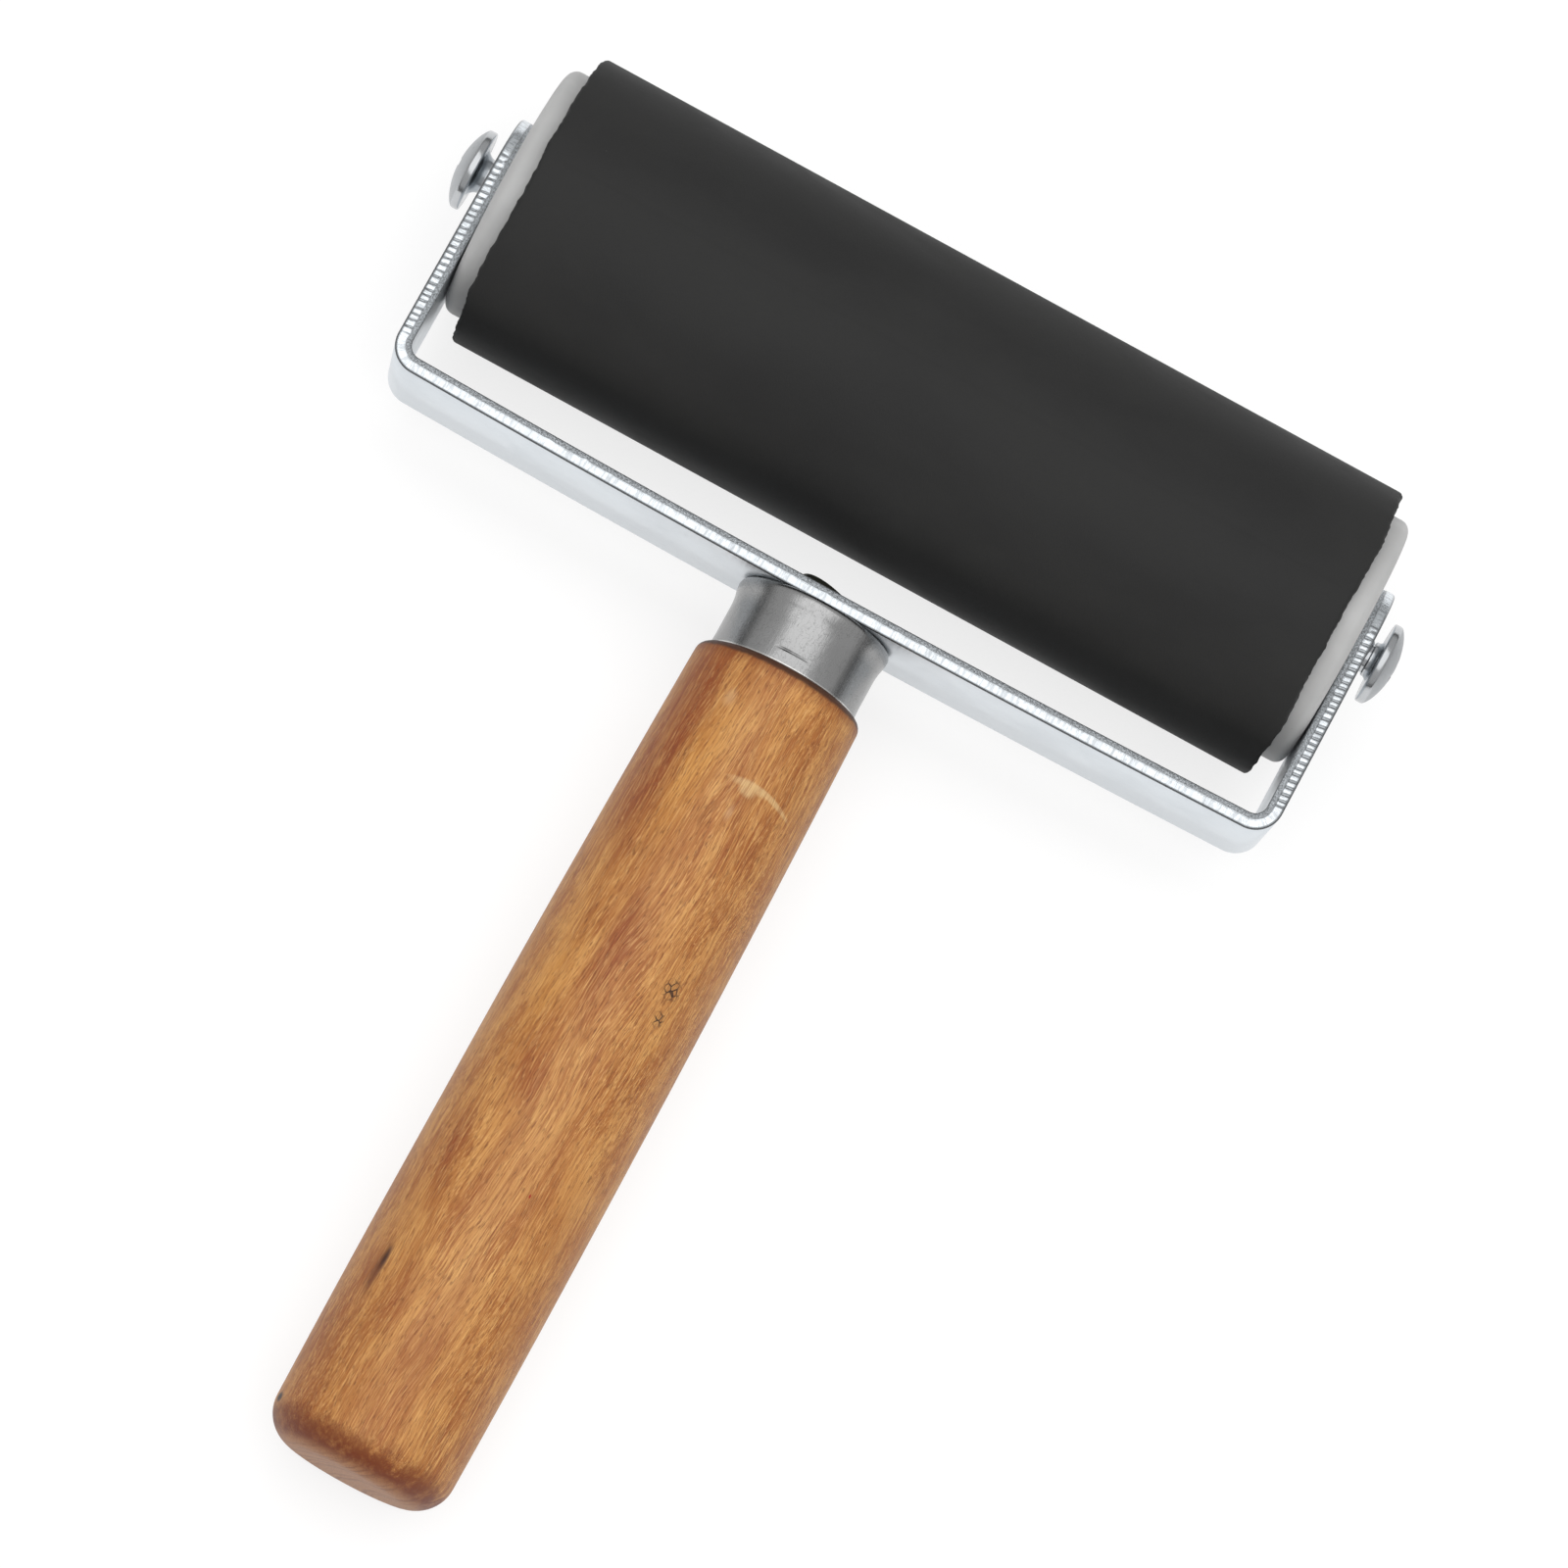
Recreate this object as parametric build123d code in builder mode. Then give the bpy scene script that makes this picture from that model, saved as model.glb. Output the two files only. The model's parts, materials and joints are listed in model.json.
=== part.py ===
"""Rubber brayer: a hand roller for spreading ink and pressing paper down.

A rubber-covered roller turns between the two arms of a bent steel strap, on a
screw at each end. One screw through the strap's middle holds the turned handle.

The brayer lies as it is put down on a table: the roller and the edge of the
handle's butt touch Z = 0. X runs along the axle, and the handle points to -Y.
The origin is on the table, under the middle of the whole tool.
"""
import os
from math import asin, atan2, cos, degrees, hypot, sin

from build123d import *

# Roller: a rubber sleeve on a solid plastic core
sleeve_length = 100.0
sleeve_radius = 17.7
sleeve_wall = 2.6
sleeve_edge_round = 0.5
core_overhang = 2.7
core_edge_round = 1.3

# Frame strap: flat steel bent to a square U, with round ends on its arms
strap_width = 15.0
strap_thickness = 1.85
bend_inner_radius = 1.5
end_play = 0.3
bar_gap = 5.75
bar_bow = 0.6

# Axle screws: threaded into the core, turning in the arms' holes
axle_shank_radius = 2.1
axle_running_clearance = 0.1
axle_head_radius = 4.7
axle_head_height = 2.35
axle_head_rim = 0.85
axle_head_gap = 1.5
axle_bite = 16.0

# Handle screw: a wood screw from inside the strap into the handle
handle_shank_radius = 2.0
handle_hole_clearance = 0.1
handle_head_radius = 3.8
handle_head_height = 2.3
handle_head_rim = 1.0
handle_bite = 26.0

# Both kinds of screw
point_length = 4.0
point_tip_radius = 0.2
under_head_round = 0.45
hole_spare_depth = 1.0
recess_width = 0.9
recess_reach = 2.4
recess_depth = 1.3

# Ferrule: a drawn steel cup over the handle's tenon, with a swollen closed end
ferrule_radius = 8.85
ferrule_wall = 0.6
ferrule_exposed = 8.45
bead_proud = 0.35
bead_height = 2.6
bead_corner_round = 0.8

# Handle: turned wood, thicker towards the butt
grip_length = 99.0
shoulder_step = 1.15
grip_butt_radius = 10.65
grip_belly = 0.45
shoulder_round = 1.1
butt_round = 4.2

# Sizes that follow from those above
core_radius = sleeve_radius - sleeve_wall
core_half = sleeve_length / 2 + core_overhang
arm_inner = core_half + end_play
arm_outer = arm_inner + strap_thickness
bar_inner = sleeve_radius + bar_gap
bar_outer = bar_inner + strap_thickness
seat_inner = bar_inner + bar_bow
seat_outer = bar_outer + bar_bow
handle_hole_radius = handle_shank_radius + under_head_round + handle_hole_clearance
bead_radius = ferrule_radius + bead_proud
tenon_radius = ferrule_radius - ferrule_wall
tenon_end = seat_outer + ferrule_wall
shoulder = seat_outer + ferrule_exposed
grip_top_radius = ferrule_radius + shoulder_step
butt = shoulder + grip_length

# How far the handle dips: the roller and the butt's rounded edge share the table
butt_share = butt_round / grip_length
butt_swell = (grip_top_radius - grip_butt_radius + 4 * grip_belly * (1 - butt_share)) * butt_share
butt_arc_reach = butt - butt_round
butt_arc_radius = grip_butt_radius + butt_swell - butt_round
rise = sleeve_radius - butt_round
rest_tilt = asin(rise / hypot(butt_arc_reach, butt_arc_radius)) - atan2(butt_arc_radius, butt_arc_reach)
back_reach = butt_arc_reach * cos(rest_tilt) + butt_arc_radius * sin(rest_tilt) + butt_round
axle_y = (back_reach - sleeve_radius) / 2

# Planes and axes of the tool, with the middle of the axle as their origin
rest = Location((0, axle_y, sleeve_radius), (degrees(rest_tilt), 0, 0))
plan = Plane(rest)
side = Plane(rest * Plane.YZ.location)
front = Plane(rest * Plane.ZX.location)
axle_axis = Axis(plan.origin, plan.x_dir)
handle_axis = Axis(plan.origin, plan.y_dir)
right_seat = side.offset(arm_outer + axle_head_gap)
left_seat = (-side).offset(arm_outer + axle_head_gap)
handle_seat = front.offset(-seat_inner)


def pan_head_screw(seat, head_radius, head_height, head_rim, shank_radius, length):
    """A screw whose head stands on the seat plane, on its +Z side, with a crossed recess."""
    with BuildPart() as screw:
        with BuildSketch(Plane(seat.origin, x_dir=seat.x_dir, z_dir=-seat.y_dir)) as half_section:
            with BuildLine():
                Polyline(
                    (0, -length),
                    (point_tip_radius, -length),
                    (shank_radius, point_length - length),
                    (shank_radius, 0),
                    (head_radius, 0),
                    (head_radius, head_rim),
                )
                dome = EllipticalCenterArc((0, head_rim), head_radius, head_height - head_rim, arc_size=90)
                Line(dome @ 1, (0, -length))
            make_face()
            fillet(half_section.vertices().sort_by_distance((shank_radius, 0))[0], under_head_round)
        revolve(axis=Axis(seat.origin, seat.z_dir))
        with BuildSketch(seat.offset(head_height)):
            Rectangle(2 * recess_reach, recess_width)
            Rectangle(recess_width, 2 * recess_reach)
        extrude(amount=-recess_depth, mode=Mode.SUBTRACT)
    return screw.part


os.makedirs("parts", exist_ok=True)

with BuildPart() as rubber_sleeve:
    with BuildSketch(side):
        Circle(sleeve_radius)
        Circle(core_radius, mode=Mode.SUBTRACT)
    extrude(amount=sleeve_length / 2, both=True)
    rims = rubber_sleeve.edges().filter_by(GeomType.CIRCLE).group_by(SortBy.RADIUS)[-1]
    fillet(rims, sleeve_edge_round)
rubber_sleeve.part.label = "rubber_sleeve"
export_step(rubber_sleeve.part, "parts/rubber_sleeve.step")

with BuildPart() as roller_core:
    with BuildSketch(side):
        Circle(core_radius)
    extrude(amount=core_half, both=True)
    fillet(roller_core.edges().filter_by(GeomType.CIRCLE), core_edge_round)
    with Locations(side.offset(core_half), (-side).offset(core_half)):
        Hole(axle_shank_radius, depth=axle_bite + hole_spare_depth)
roller_core.part.label = "roller_core"
export_step(roller_core.part, "parts/roller_core.step")

axle_screw_length = axle_head_gap + strap_thickness + end_play + axle_bite
for name, seat in (("left_axle_screw", left_seat), ("right_axle_screw", right_seat)):
    axle_screw = pan_head_screw(
        seat, axle_head_radius, axle_head_height, axle_head_rim, axle_shank_radius, axle_screw_length
    )
    axle_screw.label = name
    export_step(axle_screw, f"parts/{name}.step")

with BuildPart() as frame_strap:
    with BuildSketch(plan) as outline:
        with BuildLine():
            Polyline(
                (-arm_outer, -bar_outer),
                (-arm_outer, strap_width),
                (-arm_inner, strap_width),
                (-arm_inner, -bar_inner),
            )
            ThreePointArc((-arm_inner, -bar_inner), (0, -seat_inner), (arm_inner, -bar_inner))
            Polyline(
                (arm_inner, -bar_inner),
                (arm_inner, strap_width),
                (arm_outer, strap_width),
                (arm_outer, -bar_outer),
            )
            ThreePointArc((arm_outer, -bar_outer), (0, -seat_outer), (-arm_outer, -bar_outer))
        make_face()
        corners = outline.vertices().group_by(Axis.Y)
        fillet(corners[0], bend_inner_radius + strap_thickness)
        fillet(corners[1], bend_inner_radius)
    extrude(amount=strap_width / 2, both=True)
    with BuildSketch(side):
        Circle(strap_width / 2)
        with Locations((-seat_outer / 2, 0)):
            Rectangle(seat_outer, strap_width)
    extrude(amount=arm_outer, both=True, mode=Mode.INTERSECT)
    with Locations(side):
        Hole(axle_shank_radius + axle_running_clearance, depth=arm_outer)
    with Locations(handle_seat):
        Hole(handle_hole_radius, depth=2 * strap_thickness)
frame_strap.part.label = "frame_strap"
export_step(frame_strap.part, "parts/frame_strap.step")

with BuildPart() as ferrule:
    with BuildSketch(plan) as half_section:
        with BuildLine():
            Polyline(
                (handle_hole_radius, -seat_outer),
                (bead_radius, -seat_outer),
                (bead_radius, -seat_outer - bead_height / 2),
                (ferrule_radius, -seat_outer - bead_height),
                (ferrule_radius, -shoulder),
                (tenon_radius, -shoulder),
                (tenon_radius, -tenon_end),
                (handle_hole_radius, -tenon_end),
                close=True,
            )
        make_face()
        fillet(half_section.vertices().sort_by_distance((bead_radius, -seat_outer))[0], bead_corner_round)
        blends = half_section.vertices().sort_by_distance((bead_radius, -seat_outer - 0.75 * bead_height))
        fillet(blends[:2], bead_corner_round)
    revolve(axis=handle_axis)
ferrule.part.label = "ferrule"
export_step(ferrule.part, "parts/ferrule.step")

with BuildPart() as handle_grip:
    with BuildSketch(plan) as half_section:
        with BuildLine():
            Polyline(
                (0, -butt),
                (0, -tenon_end),
                (tenon_radius, -tenon_end),
                (tenon_radius, -shoulder),
                (grip_top_radius, -shoulder),
            )
            ThreePointArc(
                (grip_top_radius, -shoulder),
                ((grip_top_radius + grip_butt_radius) / 2 + grip_belly, -(shoulder + butt) / 2),
                (grip_butt_radius, -butt),
            )
            Line((grip_butt_radius, -butt), (0, -butt))
        make_face()
        fillet(half_section.vertices().sort_by_distance((grip_top_radius, -shoulder))[0], shoulder_round)
        fillet(half_section.vertices().sort_by_distance((grip_butt_radius, -butt))[0], butt_round)
    revolve(axis=handle_axis)
    with Locations(handle_seat.offset(seat_inner - tenon_end)):
        Hole(handle_shank_radius, depth=handle_bite + hole_spare_depth)
handle_grip.part.label = "handle_grip"
export_step(handle_grip.part, "parts/handle_grip.step")

handle_screw = pan_head_screw(
    handle_seat,
    handle_head_radius,
    handle_head_height,
    handle_head_rim,
    handle_shank_radius,
    tenon_end - seat_inner + handle_bite,
)
handle_screw.label = "handle_screw"
export_step(handle_screw, "parts/handle_screw.step")
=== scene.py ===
"""A rubber brayer as it looks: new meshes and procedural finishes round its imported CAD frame.

The tool's own frame has its origin in the middle of the axle, X along the axle, Y from the
handle to the roller and Z away from the table. Pieces are modelled in it and then put in place.
"""

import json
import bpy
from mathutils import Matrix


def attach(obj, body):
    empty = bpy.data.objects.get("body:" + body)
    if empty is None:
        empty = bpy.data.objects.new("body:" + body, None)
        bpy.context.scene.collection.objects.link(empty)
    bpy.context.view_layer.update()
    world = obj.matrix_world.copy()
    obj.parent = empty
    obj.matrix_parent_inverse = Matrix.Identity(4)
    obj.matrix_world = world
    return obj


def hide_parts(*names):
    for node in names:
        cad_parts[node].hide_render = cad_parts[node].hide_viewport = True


bl_info = {
    "name": "Rubber Brayer",
    "version": (1, 0, 0),
    "blender": (4, 5, 0),
    "location": "View3D > Sidebar > Brayer",
    "description": "Builds the roller, strap, screws, ferrule and handle of a rubber brayer",
    "category": "Object",
}

from math import asin, atan, cos, exp, pi, radians, sin, sqrt, tan

import bmesh
import bpy
from bpy.props import FloatProperty, FloatVectorProperty, PointerProperty
from bpy.types import Operator, Panel, PropertyGroup
from mathutils import Matrix, Vector, noise

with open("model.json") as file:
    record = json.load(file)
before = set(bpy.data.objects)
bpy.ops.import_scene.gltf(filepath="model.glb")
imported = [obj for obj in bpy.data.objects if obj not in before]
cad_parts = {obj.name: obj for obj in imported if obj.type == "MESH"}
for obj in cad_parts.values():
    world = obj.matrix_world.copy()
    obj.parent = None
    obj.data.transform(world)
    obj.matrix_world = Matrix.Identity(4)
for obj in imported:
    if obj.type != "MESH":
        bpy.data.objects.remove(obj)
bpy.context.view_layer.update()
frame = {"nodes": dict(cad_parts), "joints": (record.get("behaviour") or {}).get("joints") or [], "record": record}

MM = 0.001
WELD = 1e-6
SPIN = next(joint for joint in frame["joints"] if joint["name"] == "roller_spin")
BUTT = next(mount for mount in frame["record"]["mounts"] if mount["name"] == "butt_face")
AXLE = Vector(SPIN["pos_m"])
ACROSS = Vector(SPIN["axis"])
ALONG = (AXLE - Vector(BUTT["pos_m"])).normalized()
TOOL = Matrix((ACROSS, ALONG, ACROSS.cross(ALONG))).transposed().to_4x4()
TOOL.translation = AXLE


def tool_box(node):
    """The lowest and highest corners of a CAD node, measured in the tool's own frame."""
    to_tool = TOOL.inverted()
    points = [to_tool @ vertex.co for vertex in frame["nodes"][node].data.vertices]
    return Vector(map(min, zip(*points))), Vector(map(max, zip(*points)))


SLEEVE = tool_box("rubber_sleeve")[1]
CORE = tool_box("roller_core")[1]
AXLE_SCREW = tool_box("right_axle_screw")[1]
STRAP_LOW, STRAP_HIGH = tool_box("frame_strap")
HANDLE_SCREW_LOW, HANDLE_SCREW_HIGH = tool_box("handle_screw")
FERRULE_LOW, FERRULE_HIGH = tool_box("ferrule")
GRIP_LOW, GRIP_HIGH = tool_box("handle_grip")

# Sizes of hidden or small features, which the boxes don't give.
AXLE_HEAD_HEIGHT = 2.35 * MM
AXLE_SCREW_END = 36.8 * MM  # from the middle of the axle to a screw's point
CORE_HOLE_DEPTH = 17 * MM
HANDLE_HOLE_RADIUS = 2.55 * MM
HANDLE_SHANK_RADIUS = 2.0 * MM
HANDLE_SEAT_DEPTH = 2.3 * MM  # from the top of the CAD's head to the strap
HANDLE_HEAD_HEIGHT = 1.95 * MM
HANDLE_HEAD_RIM = 0.9 * MM
HANDLE_HEAD_SUNK = 0.48 * MM
PILOT_DEPTH = 27 * MM
THREAD_PITCH = 1.1 * MM
THREAD_HEIGHT = 0.32 * MM
FAR_EDGE_SEED = 370  # gives the strap's far edge marks of its own


def distance(name, description, default):
    """A length that a user can set, in metres."""
    return FloatProperty(name=name, description=description, default=default, unit="LENGTH", precision=5)


def colour(name, description, default):
    """A colour that a user can set."""
    return FloatVectorProperty(name=name, description=description, default=default, subtype="COLOR",
                               size=3, min=0, max=1)


class BrayerRoller(PropertyGroup):
    """Sizes and colours of the rubber sleeve and its core."""
    half_length: distance("Half length", "From the middle of the roller to the rubber's end", SLEEVE.x)
    radius: distance("Radius", "Outer radius of the rubber", SLEEVE.z)
    core_half_length: distance("Core half length", "From the middle to the core's end", CORE.x)
    core_radius: distance("Core radius", "Radius of the core and bore of the rubber", CORE.z)
    core_round: distance("Core rounding", "Radius of the core's end edges", 1.3 * MM)
    edge_round: distance("Edge rounding", "Radius of the rubber's worn end edges", 0.45 * MM)
    ripple: distance("Ripple", "How far the knife-cut ends wander", 0.5 * MM)
    rubber: colour("Rubber", "Colour of the clean rubber", (0.0178, 0.0178, 0.0178))
    dust: colour("Dust", "Colour of the dull patches on the rubber", (0.026, 0.026, 0.0255))
    plastic: colour("Plastic", "Colour of the core", (0.44, 0.44, 0.437))


class BrayerStrap(PropertyGroup):
    """Sizes and colours of the bent strap."""
    thickness: distance("Thickness", "Thickness of the strip", 1.85 * MM)
    width: distance("Width", "Width of the strip", 2 * STRAP_HIGH.z)
    arm_outside: distance("Arm outside", "From the middle to an arm's outer face", STRAP_HIGH.x)
    bar_outside: distance("Bar outside", "From the axle to the bar's outer face in the middle", -STRAP_LOW.y)
    bend_radius: distance("Bend radius", "Inner radius of the two bends", 1.5 * MM)
    bow: distance("Bow", "How far the screw pulls the bar's middle towards the handle", 0.6 * MM)
    hole_radius: distance("Hole radius", "Radius of the axle holes", 2.2 * MM)
    groove_pitch: distance("Groove pitch", "Average distance between the shear marks on the arms", 0.79 * MM)
    groove_depth: distance("Groove depth", "Depth of the shear marks", 0.09 * MM)
    zinc: colour("Zinc", "Colour of the plated faces", (0.70, 0.74, 0.775))


class BrayerScrews(PropertyGroup):
    """Sizes and colours of the axle screws and the handle screw."""
    axle_seat: distance("Axle seat", "From the middle to the underside of an axle screw's head",
                        AXLE_SCREW.x - AXLE_HEAD_HEIGHT)
    axle_head_radius: distance("Axle head radius", "Radius of an axle screw's head", AXLE_SCREW.z + 0.08 * MM)
    axle_head_rim: distance("Axle head rim", "Height of the straight rim below an axle screw's dome", 0.80 * MM)
    axle_shank_radius: distance("Axle shank radius", "Radius over an axle screw's thread", 2.1 * MM)
    handle_head_radius: distance("Handle head radius", "Radius of the handle screw's head",
                                 HANDLE_SCREW_HIGH.z)
    lean: FloatProperty(name="Lean", description="How far the handle screw sits askew",
                        default=radians(11), subtype="ANGLE")
    zinc: colour("Zinc", "Colour of the plated screws", (0.54, 0.555, 0.57))
    blackened: colour("Blackened", "Colour of the handle screw", (0.035, 0.035, 0.026))


class BrayerHandle(PropertyGroup):
    """Sizes and colours of the ferrule and the wooden grip."""
    ferrule_radius: distance("Ferrule radius", "Outer radius of the ferrule below its bead", 8.85 * MM)
    ferrule_wall: distance("Ferrule wall", "Thickness of the ferrule's sheet", 0.6 * MM)
    bead_height: distance("Bead height", "Height of the swollen end of the ferrule", 2.6 * MM)
    belly: distance("Belly", "How far the grip swells in the middle", 0.45 * MM)
    top_radius: distance("Top radius", "Radius of the grip at its shoulder", 10.0 * MM)
    butt_radius: distance("Butt radius", "Radius of the grip at its butt", 10.65 * MM)
    shoulder_round: distance("Shoulder rounding", "Radius of the shoulder's edge", 1.1 * MM)
    butt_round: distance("Butt rounding", "Radius of the butt's edge", 4.2 * MM)
    steel: colour("Steel", "Colour of the ferrule", (0.43, 0.43, 0.43))
    honey: colour("Honey", "Main colour of the wood", (0.390, 0.152, 0.038))
    pale: colour("Pale", "Light streaks of the wood", (0.505, 0.235, 0.067))
    brown: colour("Brown", "Dark streaks of the wood", (0.250, 0.060, 0.015))
    burnt: colour("Burnt", "Scorched edge of the butt", (0.160, 0.034, 0.008))


class BrayerStage(PropertyGroup):
    """The camera, the lights and the floor."""
    elevation: FloatProperty(name="Elevation", description="Height of the camera above the floor's plane",
                             default=radians(74.9), subtype="ANGLE")
    roll: FloatProperty(name="Roll", description="Turn of the camera about its own axis",
                        default=radians(28.63), subtype="ANGLE")
    range: distance("Range", "From the camera to the point that it aims at", 0.898)
    lens: FloatProperty(name="Lens", description="Focal length in millimetres", default=188.9)
    aim_across: distance("Aim across", "Aim point along the axle, from its middle", 5.6 * MM)
    aim_along: distance("Aim along", "Aim point along the handle, from the axle", -44.0 * MM)
    key: FloatProperty(name="Key light", description="Power of the overhead softbox in watts", default=4.2)
    walls: FloatProperty(name="Walls", description="Brightness of the studio's walls", default=0.55)
    floor_glow: FloatProperty(name="Floor glow", description="Light that the pale floor adds", default=0.76)


# ---------------------------------------------------------------- shaping helpers


def wire(bm, points, closed=False):
    """A line of vertices and edges through the points; gives its vertices."""
    verts = [bm.verts.new(point) for point in points]
    for pair in zip(verts, verts[1:]):
        bm.edges.new(pair)
    if closed:
        bm.edges.new((verts[-1], verts[0]))
    return verts


def round_corner(bm, corner, radius, segments):
    """Rounds one corner of a wire, where two of its edges meet at about a right angle."""
    bmesh.ops.bevel(bm, geom=[corner], offset=radius, offset_type="OFFSET", affect="VERTICES",
                    segments=segments, profile=0.5, material=-1)


def divide_long(bm, length, cuts):
    """Cuts each edge that is longer than length into equal pieces."""
    long = [edge for edge in bm.edges if edge.calc_length() > length]
    bmesh.ops.subdivide_edges(bm, edges=long, cuts=cuts)


def spin_round(bm, axis, steps):
    """Turns the wire in bm once about an axis through the origin and closes the skin."""
    bmesh.ops.spin(bm, geom=bm.verts[:] + bm.edges[:], cent=(0, 0, 0), axis=axis, angle=2 * pi,
                   steps=steps, use_merge=True)
    bmesh.ops.remove_doubles(bm, verts=bm.verts, dist=WELD)
    bmesh.ops.recalc_face_normals(bm, faces=bm.faces)


def add_piece(bm, name, body, node, materials, sharp=radians(40)):
    """Puts a finished bmesh in the tool's place as an object that stands for a CAD node."""
    bm.transform(TOOL)
    mesh = bpy.data.meshes.new(name)
    bm.to_mesh(mesh)
    bm.free()
    mesh.shade_smooth()
    mesh.set_sharp_from_angle(angle=sharp)
    for material in materials:
        mesh.materials.append(material)
    piece = bpy.data.objects.new(name, mesh)
    bpy.context.collection.objects.link(piece)
    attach(piece, body)
    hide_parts(node)
    return piece


def carve(bm, cutter):
    """Cuts the cutter's closed mesh out of bm, and frees the cutter."""
    meshes = []
    for source in (bm, cutter):
        mesh = bpy.data.meshes.new("carving")
        source.to_mesh(mesh)
        meshes.append(mesh)
    work, tool = [bpy.data.objects.new("carving", mesh) for mesh in meshes]
    for part in (work, tool):
        bpy.context.collection.objects.link(part)
    cut = work.modifiers.new("cut", "BOOLEAN")
    cut.object = tool
    cut.operation = "DIFFERENCE"
    cut.solver = "EXACT"
    evaluated = work.evaluated_get(bpy.context.evaluated_depsgraph_get())
    result = bpy.data.meshes.new_from_object(evaluated)
    bm.clear()
    bm.from_mesh(result)
    cutter.free()
    for part in (work, tool):
        bpy.data.objects.remove(part)
    for mesh in meshes + [result]:
        bpy.data.meshes.remove(mesh)


def smooth_step(low, high, value):
    """0 below low, 1 above high, and a smooth ramp between."""
    share = min(max((value - low) / (high - low), 0), 1)
    return share * share * (3 - 2 * share)


# ---------------------------------------------------------------- the pieces


def sleeve_mesh(roller):
    """The rubber tube, with the slightly wandering ends of a knife cut."""
    bm = bmesh.new()
    half, radius, bore = roller.half_length, roller.radius, roller.core_radius
    corners = wire(bm, [(-half, 0, bore), (-half, 0, radius), (half, 0, radius), (half, 0, bore)], True)
    for corner in corners[1:3]:
        round_corner(bm, corner, roller.edge_round, 4)
    bore_edge = bm.edges.get((corners[0], corners[3]))
    long = [edge for edge in bm.edges if edge.calc_length() > half and edge != bore_edge]
    bmesh.ops.subdivide_edges(bm, edges=long, cuts=80)
    spin_round(bm, (1, 0, 0), 360)
    reach = 7 * MM
    for vertex in bm.verts:
        side = 1 if vertex.co.x > 0 else -1
        depth = half - abs(vertex.co.x)
        if depth < reach:
            place = Vector((3 * side, vertex.co.y / radius, vertex.co.z / radius))
            slow = noise.noise(2.1 * place)
            quick = noise.noise(9 * place) * 0.40 + noise.noise(30 * place) * 0.30
            vertex.co.x += side * roller.ripple * (0.75 * slow + quick) * (1 - smooth_step(0, reach, depth))
    return bm


def core_mesh(roller, screws):
    """The solid core, with rounded ends and the holes that the axle screws bite in."""
    bm = bmesh.new()
    half, radius, hole = roller.core_half_length, roller.core_radius, screws.axle_shank_radius
    bottom = CORE_HOLE_DEPTH - half
    points = [(bottom, 0, 0), (bottom, 0, hole), (-half, 0, hole), (-half, 0, radius)]
    mirrored = [(-x, y, z) for x, y, z in reversed(points)]
    corners = wire(bm, points + mirrored)
    for corner in (corners[3], corners[4]):
        round_corner(bm, corner, roller.core_round, 8)
    spin_round(bm, (1, 0, 0), 192)
    return bm


def strap_path(strap, run):
    """Place and heading of the strip's middle at a distance along it from the bar's middle."""
    middle_radius = strap.bend_radius + strap.thickness / 2
    arm = strap.arm_outside - strap.thickness / 2
    bar = strap.bar_outside - strap.thickness / 2
    flat = arm - middle_radius
    if run <= flat:
        return Vector((run, strap.bow * (run / flat) ** 2 - bar)), atan(2 * strap.bow * run / flat ** 2)
    start = atan(2 * strap.bow / flat)
    corner = Vector((flat, strap.bow - bar)) + middle_radius * Vector((-sin(start), cos(start)))
    heading = start + (run - flat) / middle_radius
    if heading <= pi / 2:
        return corner + middle_radius * Vector((sin(heading), -cos(heading))), heading
    straight = run - flat - middle_radius * (pi / 2 - start)
    return corner + Vector((middle_radius, straight)), pi / 2


def axle_run(strap):
    """Distance along the strip from the bar's middle to the axle."""
    return strap.arm_outside - strap_path(strap, strap.arm_outside)[0].y


def shear_marks(strap, axle, run, height, seed):
    """How far the sheared edge stands back, and how much of it is groove and torn metal.

    run is measured along the strip from the bar's middle, and axle is the run to the axle.
    height goes from 0 at the strap's outer face to 1 at its inner face: a rolled edge, a
    bright cut band with grooves across it, and a rougher torn band whose edge falls away.
    The arms carry the grooves, their tips and the bends are smooth and the bar has fine strokes.
    """
    along, reach = run / MM + seed, abs(run)
    rolled = 0.22 * MM * max(0, 1 - height / 0.15) ** 2
    torn = noise.noise(Vector((along / 1.5, 3.1, 0))) * 0.05
    torn = smooth_step(0.63 + torn, 0.69 + torn, height)
    grain = 0.5 + 0.5 * noise.noise(Vector((along / 0.35, height * 4, 7.7)))
    on_bar = 1 - smooth_step(strap.arm_outside - 5 * MM, strap.arm_outside - 3.4 * MM, reach)
    on_arm = smooth_step(strap.arm_outside, strap.arm_outside + 1.5 * MM, reach)
    on_arm *= 1 - smooth_step(axle + 0.8 * MM, axle + 2.2 * MM, reach)
    slant = 0.07 * sin(6 * (height - 0.4))
    jitter = 0.35 * noise.noise(Vector((along / 1.7, 1.3, 0)))
    phase = along * MM / strap.groove_pitch + jitter + slant
    groove_share = 0.22 if run > 0 else 0.16
    groove = exp(-((phase - round(phase)) / groove_share) ** 4)
    uneven = smooth_step(-0.35, 0.15, noise.noise(Vector((along / 1.2, 9, 0))))
    groove *= on_arm * (0.7 + 0.3 * uneven)
    stroke = noise.noise(Vector((along / 0.40, height * 0.5, 5.5)))
    groove = (groove + (0.10 + 0.14 * uneven) * on_bar * smooth_step(-0.10, 0.30, stroke)) * (1 - torn)
    inset = rolled + strap.groove_depth * groove + torn * (0.06 + 0.05 * grain) * MM
    fallen = 0.12 * MM * smooth_step(0.90, 1.0, height)
    return inset + fallen, groove, torn


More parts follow.
